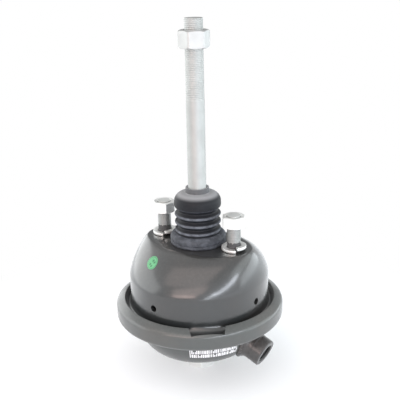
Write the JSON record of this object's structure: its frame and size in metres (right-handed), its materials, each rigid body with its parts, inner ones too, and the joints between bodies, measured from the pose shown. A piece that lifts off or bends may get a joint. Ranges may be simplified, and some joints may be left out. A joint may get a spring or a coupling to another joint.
{
  "type": "air brake chamber",
  "caption": "Single-diaphragm air brake chamber with a long threaded push rod, dust boot, mounting studs and threaded air ports.",
  "frame": {"origin": "centre of the flat mounting face between the two studs, on the push rod's axis", "axes": "+Z along the push rod, away from the chamber; +X through the studs, towards the side inlet port"},
  "size_m": [0.1526, 0.1526, 0.3205],
  "materials": {
    "painted_black": "semi-gloss black paint",
    "painted_grey": "satin charcoal grey paint",
    "zinc": "bright zinc plate",
    "zinc_dull": "satin zinc plate",
    "steel": "oiled bare steel",
    "rubber": "black moulded rubber",
    "fabric_rubber": "fabric-reinforced rubber",
    "copper": "soft copper",
    "label_green": "printed paper label",
    "marking_white": "white stamped paint"
  },
  "bodies": {
    "housing": {"non_pressure_housing": "painted_black", "pressure_housing": "painted_grey", "inlet_port": "painted_grey", "rear_port": "painted_grey", "port_seal": "copper", "port_plug": "zinc", "lock_ring": "painted_grey", "stud_plate": "steel", "left_mounting_stud": "zinc_dull", "right_mounting_stud": "zinc_dull", "left_spring_washer": "zinc", "right_spring_washer": "zinc", "left_stud_nut": "zinc", "right_stud_nut": "zinc", "diaphragm": "fabric_rubber", "return_spring": "steel", "boot_retainer": "steel", "dust_boot": "rubber"},
    "push_rod": {"push_rod": "zinc_dull", "rod_nut": "zinc", "push_plate": "steel"}
  },
  "joints": [
    {"name": "rod_slide", "type": "slide", "parent": "housing", "child": "push_rod", "axis": [0, 0, 1], "range_m": [0, 0.057], "stiffness_N_per_m": 1500, "springref_m": -0.03, "deforming": ["return_spring", "dust_boot", "diaphragm"]}
  ]
}
